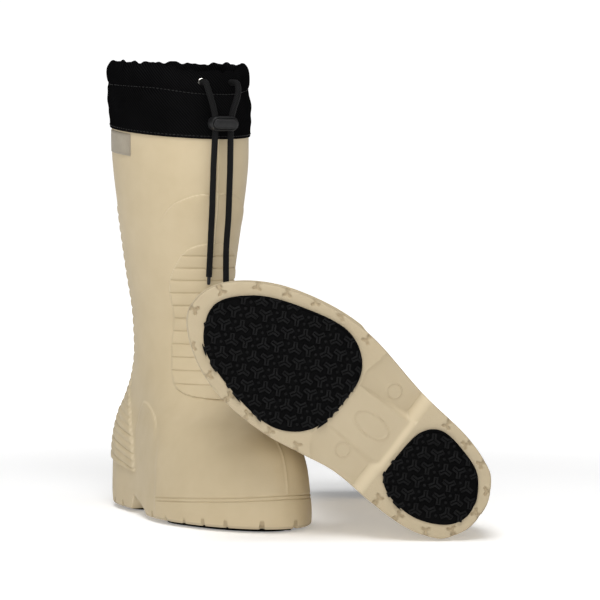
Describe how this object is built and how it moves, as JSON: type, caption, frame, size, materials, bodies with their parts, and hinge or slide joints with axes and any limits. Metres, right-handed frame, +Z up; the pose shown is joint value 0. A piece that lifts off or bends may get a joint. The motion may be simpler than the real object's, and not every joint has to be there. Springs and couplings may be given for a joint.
{
  "type": "pair of winter boots",
  "caption": "Tall moulded foam boots with rubber tread pads and woven collars drawn in by a cord with a spring lock, the pair standing and lying.",
  "frame": {"origin": "on the ground, at the face of a lug in the middle of the standing (right) boot's forefoot tread", "axes": "+Z up; +Y away from the viewer, along the lying (left) boot's shaft; +X to the right, towards the lying boot's heel"},
  "size_m": [0.3049, 0.3911, 0.3911],
  "materials": {
    "foam": "matt moulded EVA foam, beige",
    "tread_rubber": "matt black moulded rubber",
    "liner_felt": "dark grey needle felt",
    "insole_cloth": "dark felt footbed",
    "collar_cloth": "black twill nylon",
    "cord": "black braided polyester",
    "eyelet_metal": "black lacquered set eyelet, worn on its edge",
    "tip_plastic": "black plastic",
    "lock_plastic": "black moulded plastic",
    "spring_steel": "bright spring wire",
    "label_patch": "plain grey-beige flat patch"
  },
  "bodies": {
    "right_boot": {"right_body": "foam", "right_forefoot_tread": "tread_rubber", "right_heel_tread": "tread_rubber", "right_liner": "liner_felt", "right_insole": "insole_cloth", "right_collar": "collar_cloth", "right_hem_cord": "cord", "right_outer_cord": "cord", "right_inner_cord": "cord", "right_eyelets": "eyelet_metal", "right_cord_tips": "tip_plastic", "right_label": "label_patch"},
    "right_lock": {"right_lock_body": "lock_plastic", "right_lock_spring": "spring_steel"},
    "right_button": {"right_lock_button": "lock_plastic"},
    "left_boot": {"left_body": "foam", "left_forefoot_tread": "tread_rubber", "left_heel_tread": "tread_rubber", "left_liner": "liner_felt", "left_insole": "insole_cloth", "left_collar": "collar_cloth", "left_hem_cord": "cord", "left_outer_cord": "cord", "left_inner_cord": "cord", "left_eyelets": "eyelet_metal", "left_cord_tips": "tip_plastic", "left_label": "label_patch"},
    "left_lock": {"left_lock_body": "lock_plastic", "left_lock_spring": "spring_steel"},
    "left_button": {"left_lock_button": "lock_plastic"}
  },
  "joints": [
    {"name": "left_boot_away", "type": "slide", "parent": "right_boot", "child": "left_boot", "axis": [1, 0, 0], "range_m": [0, 0.25]},
    {"name": "right_lock_slide", "type": "slide", "parent": "right_boot", "child": "right_lock", "axis": [-0.0304, 0.0667, -0.9973], "range_m": [0, 0.06]},
    {"name": "right_button_press", "type": "slide", "parent": "right_lock", "child": "right_button", "axis": [-0.4136, 0.9075, 0.0732], "range_m": [0, 0.002], "stiffness_N_per_m": 150, "deforming": ["right_lock_spring"]},
    {"name": "left_lock_slide", "type": "slide", "parent": "left_boot", "child": "left_lock", "axis": [0, 0, -1], "range_m": [-0.02, 0.02]},
    {"name": "left_button_press", "type": "slide", "parent": "left_lock", "child": "left_button", "axis": [1, 0, 0], "range_m": [0, 0.002], "stiffness_N_per_m": 150, "deforming": ["left_lock_spring"]}
  ]
}
